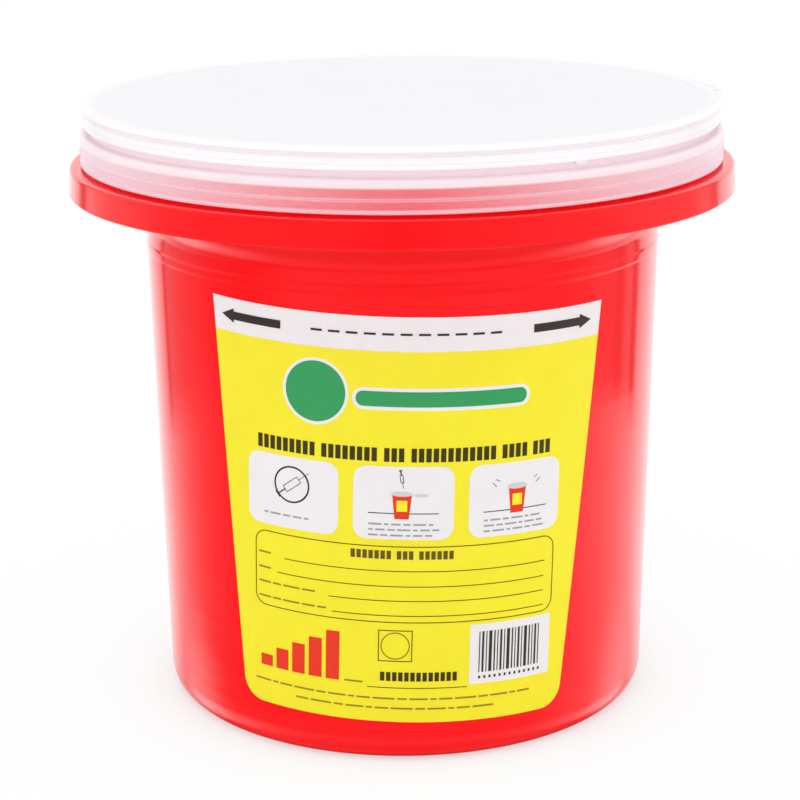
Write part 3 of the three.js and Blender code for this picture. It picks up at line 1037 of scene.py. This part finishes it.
def instruction_pictures(dark, red, yellow, pale, grey):
    """Three small pictures: a syringe in a ring, one over an open container, a closed container."""
    shapes = [hollowed(disc_shape(-26.4, 7.2, 4.4, 4.4), 0.4)]
    shapes += small_syringe(-26.4, 7.2, 10.5, 38)
    shapes += small_syringe(-1.0, 11.0, 4.6, -80)
    shapes += [line_shape((-8.4, 2.8), (7.4, 2.8), 0.22), line_shape((17.6, 2.6), (33.3, 2.6), 0.22)]
    for x, y, rise in ((20.6, 8.4, 0.9), (21.3, 9.6, 0.5), (30.4, 8.4, 0.9), (29.8, 9.6, 0.5)):
        lean = -1.0 if x < 25 else 1.0
        shapes.append(line_shape((x, y), (x + lean, y + rise), 0.16))
    printed("label_pictures", shapes, 3, dark)
    pots = [small_container(-0.9, 1.5, 4.4, 5.9), small_container(25.7, 1.8, 4.3, 6.2)]
    printed("label_small_containers", pots, 4, red)
    fronts = [box_shape(-2.1, 0.3, 3.3, 5.9), box_shape(24.5, 26.9, 3.6, 6.3)]
    printed("label_small_labels", fronts, 5, yellow)
    lids = [disc_shape(-0.9, 7.4, 2.5, 0.55), disc_shape(3.4, 7.1, 1.6, 0.4)]
    lids.append(disc_shape(25.7, 8.1, 2.5, 0.65))
    printed("label_small_lids", lids, 5, pale)
    captions = fine_rows(-33.5, -19.5, [-0.4], [1.1, 2.6, 1.9, 2.2])
    captions += fine_rows(-8.3, 7.7, [0.2, -1.1, -2.4], [2.9, 1.0, 2.1, 1.6])
    captions += fine_rows(17.8, 33.2, [0.6, -0.7, -2.0], [0.9, 2.4, 1.5, 2.8])
    printed("label_captions", captions, 3, grey)


def form_print():
    """The form: its frame and rules and blocks for its heading; a square mark and a rule under it."""
    shapes = form_outline() + block_row(-12.2, -7.1, 2.0, 1.355, (7, 3, 6))
    shapes.append(hollowed(box_shape(-5.6, 2.2, -33, -25.3), 0.22))
    shapes.append(hollowed(disc_shape(-1.7, -29.15, 3.3, 3.3), 0.2))
    shapes.append(line_shape((-7.9, -39.5), (14.9, -39.5), 0.2))
    return shapes


def small_print():
    """Hair-thin strokes at the head of each row of the form and along the label's foot."""
    shapes = []
    for right, height in ((-29.4, -10.4), (-31.2, -14.1), (-18.6, -17.6), (-17.6, -21.2)):
        shapes += fine_rows(-35, right, [height], [3.2, 2.1, 4.2])
    shapes += fine_rows(-13.2, -8.9, [-38.4], [4.2])
    shapes += fine_rows(-36.0, 33.0, [-42.2], [4.2, 1.4, 3.1, 5.0, 2.2])
    shapes += fine_rows(-25.0, 23.0, [-44.6], [3.1, 5.0, 2.2, 4.2, 1.4])
    return shapes


def bar_panel():
    """Upright bars of a few widths in a plain repeat, and a row of dots under them."""
    bars = word_marks(17.6, 33.6, -31.2, 10, 0.46, [0.25, 0.5, 0.25, 0.75, 0.35])
    return bars + word_marks(17.6, 33.6, -37.4, 0.7, 0.75, [0.5])


def make_label():
    white = printed_film("label_white", srgb(234, 232, 233))
    yellow = printed_film("label_yellow", srgb(243, 231, 40), 0.8)
    dark = printed_film("label_dark_ink", srgb(58, 47, 44))
    brown = printed_film("label_brown_ink", srgb(104, 84, 24))
    olive = printed_film("label_olive_ink", srgb(150, 134, 46))
    title = printed_film("label_title_ink", srgb(66, 56, 18))
    grey = printed_film("label_grey_ink", srgb(160, 156, 160))
    pale = printed_film("label_pale_ink", srgb(206, 206, 208))
    red = printed_film("label_red_ink", srgb(232, 52, 26))
    green = printed_film("label_green_ink", srgb(52, 158, 92))
    sheet = printed("label_film", [sheet_shape(LABEL_HEIGHT / 2, 0)], 0, white, FILM_THICKNESS)
    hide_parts("front_label")
    printed("label_yellow_field", [sheet_shape(LABEL_BAND_EDGE, 0.01)], 1, yellow)
    panels = [box_shape(x - 11.3, x + 11.3, -3.4, 13.8, 3) for x in (-26.5, -0.5, 25.5)]
    panels.append(box_shape(15.4, 35.7, -39, -24.3))
    panels.append(disc_shape(-20.9, 30, 7.7, 7.7, 64))
    panels.append(box_shape(-12.4, 28, 26.8, 31.9, 2.4))
    printed("label_panels", panels, 2, white)
    badge = [disc_shape(-20.9, 30, 7.0, 7.0, 64), box_shape(-11.6, 27.2, 27.6, 31.1, 1.7)]
    printed("label_plain_badge", badge, 3, green)
    arrows = [arrow(-45.4, -41.9, -29.3, 44.1), arrow(44.8, 41.2, 28.5, 44.2)]
    dashes = word_marks(-22, 22, 44.1, 0.5, 1.4, [2.6])
    printed("label_fill_line", arrows + dashes, 3, dark)
    printed("label_bars", bar_panel(), 3, dark)
    strokes = block_row(-35.1, 16.5, 3.2, 1.633, (9, 8, 3, 12, 4, 3))
    strokes += block_row(-5.0, -36.7, 2.2, 1.38, (13,))
    printed("label_title_strokes", strokes, 3, title)
    printed("label_form", form_print(), 3, brown)
    printed("label_small_print", small_print(), 3, olive)
    steps = []
    for i in range(5):
        x = -34.5 + 4.2 * i
        steps.append(box_shape(x, x + 3.2, -38.6, -35.8 + 2.3 * i))
    printed("label_red_steps", steps, 3, red)
    instruction_pictures(dark, red, yellow, pale, grey)


# ---- stage --------------------------------------------------------------------------------------

CAMERA_PLACE = (-0.96 * MM, -530 * MM, 221.84 * MM)
CAMERA_PITCH = math.radians(90 - 15.997)     # from straight down
CAMERA_ROLL = math.radians(-0.522)
CAMERA_LENS = 100.26
LAMP_AIM = Vector((0, 0, 80 * MM))
AMBIENT = 0.54
BRIGHTEST = 2.6                      # the level that a full ramp stands for in the reflected room


def floor_material():
    """Pale and matt, glowing white to the camera; the glow is painted thinner near the object's foot, a
    painted shade round the base where the lit floor and its shadow show; clear from below and under the
    base.
    """
    material, tree, shader, place = new_material("pale_floor")
    fill(tree, shader, Base_Color=(0.9, 0.9, 0.9), Roughness=0.9, Specular_IOR_Level=0.0)
    length = add(tree, "VectorMath", {"operation": "LENGTH"})
    feed(tree, place, length.inputs[0])
    distance = length.outputs["Value"]
    # painted glow: to the camera the floor glows white, less of it close to the foot, so the floor is darker
    # round the base
    painted_glow_share = ramp(tree, distance, [
        (0.055, 0.5), (0.0575, 0.58), (0.06, 0.76), (0.065, 0.88), (0.08, 0.95), (0.14, 0.985), (0.2, 1.0),
    ])
    share = math_node(tree, "MULTIPLY", add(tree, "LightPath").outputs["Is Camera Ray"], painted_glow_share)
    lit = mixed_shader(tree, share, shader, add(tree, "Emission", Strength=1.0))
    covered = math_node(tree, "LESS_THAN", distance, FOOT_RADIUS)
    clear = math_node(tree, "MAXIMUM", add(tree, "NewGeometry").outputs["Backfacing"], covered)
    shown(tree, mixed_shader(tree, clear, lit, add(tree, "BsdfTransparent")))
    return material


def make_floor():
    start_alone()
    bpy.ops.mesh.primitive_plane_add(size=8, location=(0, 0, 0))
    floor = named(bpy.context.object, "floor")
    floor.data.materials.append(floor_material())
    floor.visible_glossy = False


def slope_of(degrees):
    """How far up a direction points that many degrees over the horizon."""
    return math.sin(math.radians(degrees))


def reflected_room(tree):
    """What the gloss shows: a softbox on each side behind, a dim front and the lit table below."""
    direction = add(tree, "SeparateXYZ", Vector=add(tree, "TexCoord").outputs["Generated"]).outputs
    up = direction["Z"]
    turn = math_node(tree, "ARCTAN2", direction["X"], direction["Y"])
    round_about = math_node(tree, "DEGREES", turn)
    off_behind = math_node(tree, "ABSOLUTE", round_about)
    # degrees round from straight behind (+Y), to the right positive, and how bright it is there
    flange_view = ramp(tree, round_about, [
        (-180, 0.12), (-133, 0.3), (-110, 0.25), (-100, 0.4), (-92, 0.42), (-85, 0.63), (-77, 0.71),
        (-65, 0.76), (-57, 0.86), (-49, 1.0), (-45.5, 0.85), (-44, 0.3), (-40.5, 0.27), (-38, 0.6),
        (-35.5, 1.1), (-28, 1.38), (-20, 1.3), (-9, 1.1), (15, 1.1), (25, 1.4), (40, 1.42), (45, 1.15),
        (46.5, 0.38), (52, 0.45), (55, 0.72), (61, 0.7), (66, 0.55), (84, 0.6), (94, 0.66), (107, 0.5),
        (137, 0.35), (180, 0.12),
    ], BRIGHTEST)
    level_view = ramp(tree, round_about, [
        (-180, 0.32), (-133, 0.38), (-110, 0.14), (-92, 0.18), (-85, 0.24), (-75, 0.36), (-65, 0.42),
        (-56, 0.48), (-48, 0.56), (-45.5, 0.3), (-43.5, 0.3), (-42, 0.9), (-37, 1.2), (-28, 1.38),
        (-20, 1.3), (-9, 1.1), (15, 1.1), (25, 1.4), (33, 1.5), (44, 1.4), (47.5, 1.2), (50, 0.4),
        (53.5, 0.25), (56, 0.62), (61, 0.62), (64, 0.35), (68, 0.3), (71, 0.44), (83, 0.5), (107, 0.3),
        (137, 0.42), (180, 0.32),
    ], BRIGHTEST)
    lower_view = ramp(tree, round_about, [
        (-180, 0.26), (-133, 0.28), (-110, 0.18), (-92, 0.3), (-85, 0.36), (-76, 0.5), (-68, 0.66),
        (-60, 0.85), (-50, 1.12), (-42, 1.28), (-35, 1.42), (-24, 1.4), (-10, 1.0), (15, 1.1),
        (26, 1.4), (36, 1.55), (52, 1.48), (64, 1.38), (75, 1.22), (86, 1.05), (98, 0.85), (115, 0.4),
        (135, 0.26), (180, 0.26),
    ], BRIGHTEST)
    table = ramp(tree, off_behind, [
        (0, 0.8), (42, 0.8), (53, 2.3), (70, 2.4), (80, 1.5), (95, 1.15), (110, 0.75), (130, 0.5),
        (180, 0.42),
    ], BRIGHTEST)
    foot = ramp(tree, off_behind, [
        (0, 0.1), (50, 0.14), (90, 0.32), (120, 0.28), (180, 0.24),
    ], BRIGHTEST)
    # the table comes up a little further where it lies behind
    raised = ramp(tree, off_behind, [(0, 0.05), (62, 0.05), (88, 0.0), (180, 0.0)])
    table_up = math_node(tree, "SUBTRACT", up, raised)

    def faded(first, second, above, below, rise=up):
        """The first down to one angle over the horizon, then over to the second at another."""
        share = remap(tree, rise, slope_of(below), slope_of(above), 1, 0)
        return add(tree, "Mix", Factor=share, A=first, B=second).outputs["Result"]

    walls = faded(flange_view, level_view, -10, -11.5)
    walls = faded(walls, lower_view, -16.5, -17.8)
    dimming = remap(tree, up, slope_of(-24.5), slope_of(-20), 0.68, 1)
    walls = math_node(tree, "MULTIPLY", walls, dimming)
    table = faded(table, foot, -36, -48, table_up)
    return faded(walls, table, -25, -30, table_up)


def make_world():
    """White to the camera and through clear parts; softly shaded round the object in reflections."""
    world = bpy.data.worlds.new("studio")
    bpy.context.scene.world = world
    world.use_nodes = True
    tree = world.node_tree
    white = fill(tree, tree.nodes["Background"], Color=(1, 1, 1), Strength=1.0)
    mirrored = add(tree, "Background", Color=reflected_room(tree), Strength=BRIGHTEST)
    ambient = add(tree, "Background", Color=(0.97, 0.98, 1), Strength=AMBIENT)
    rays = add(tree, "LightPath").outputs
    seen = math_node(tree, "MAXIMUM", rays["Is Camera Ray"], rays["Is Transmission Ray"])
    unseen = mixed_shader(tree, rays["Is Glossy Ray"], ambient, mirrored)
    shown(tree, mixed_shader(tree, seen, unseen, white), "World Output")


def area_lamp(name, place, size, power):
    """A soft lamp that faces the container and is not mirrored in it."""
    start_alone()
    bpy.ops.object.light_add(type="AREA", location=place)
    lamp = bpy.context.object
    lamp.name = name
    lamp.data.shape = "RECTANGLE"
    lamp.data.size = size[0]
    lamp.data.size_y = size[1]
    lamp.data.energy = power
    lamp.rotation_mode = "QUATERNION"
    lamp.rotation_quaternion = (LAMP_AIM - Vector(place)).to_track_quat("-Z", "Y")
    lamp.visible_glossy = False
    lamp.visible_camera = False


def make_lamps():
    area_lamp("top_softbox", (0, -0.15, 1.3), (1.1, 1.1), 4.4)
    area_lamp("front_softbox", (0, -1.5, 0.42), (1.6, 0.8), 8.5)
    area_lamp("left_softbox", (-1.2, -0.1, 0.45), (0.9, 0.9), 4)
    area_lamp("right_softbox", (1.2, -0.1, 0.45), (0.9, 0.9), 4)
    area_lamp("back_softbox", (0, 1.4, 0.45), (1.2, 0.8), 4)


def make_camera():
    start_alone()
    bpy.ops.object.camera_add(location=(0, 0, 0))
    camera = bpy.context.object
    camera.name = "camera"
    camera.data.sensor_width = 36
    camera.data.lens = CAMERA_LENS
    pitch = Matrix.Rotation(CAMERA_PITCH, 4, "X")
    roll = Matrix.Rotation(CAMERA_ROLL, 4, "Z")
    camera.matrix_world = Matrix.Translation(CAMERA_PLACE) @ pitch @ roll
    camera.data.clip_start = 10 * MM
    camera.data.clip_end = 20
    bpy.context.scene.camera = camera


def make_stage():
    make_floor()
    make_world()
    make_lamps()
    make_camera()
    scene = bpy.context.scene
    scene.view_settings.view_transform = "Standard"
    scene.cycles.transparent_max_bounces = 40


# ---- assembly -----------------------------------------------------------------------------------

make_stage()
red = red_plastic()
lid_white = lid_plastic()
cap_white = cap_plastic()
make_bucket(red)
make_base_lid(lid_white)
make_closure_cap(cap_white)
gate_nub(cap_white)
hinge_strap(lid_white)
make_label()
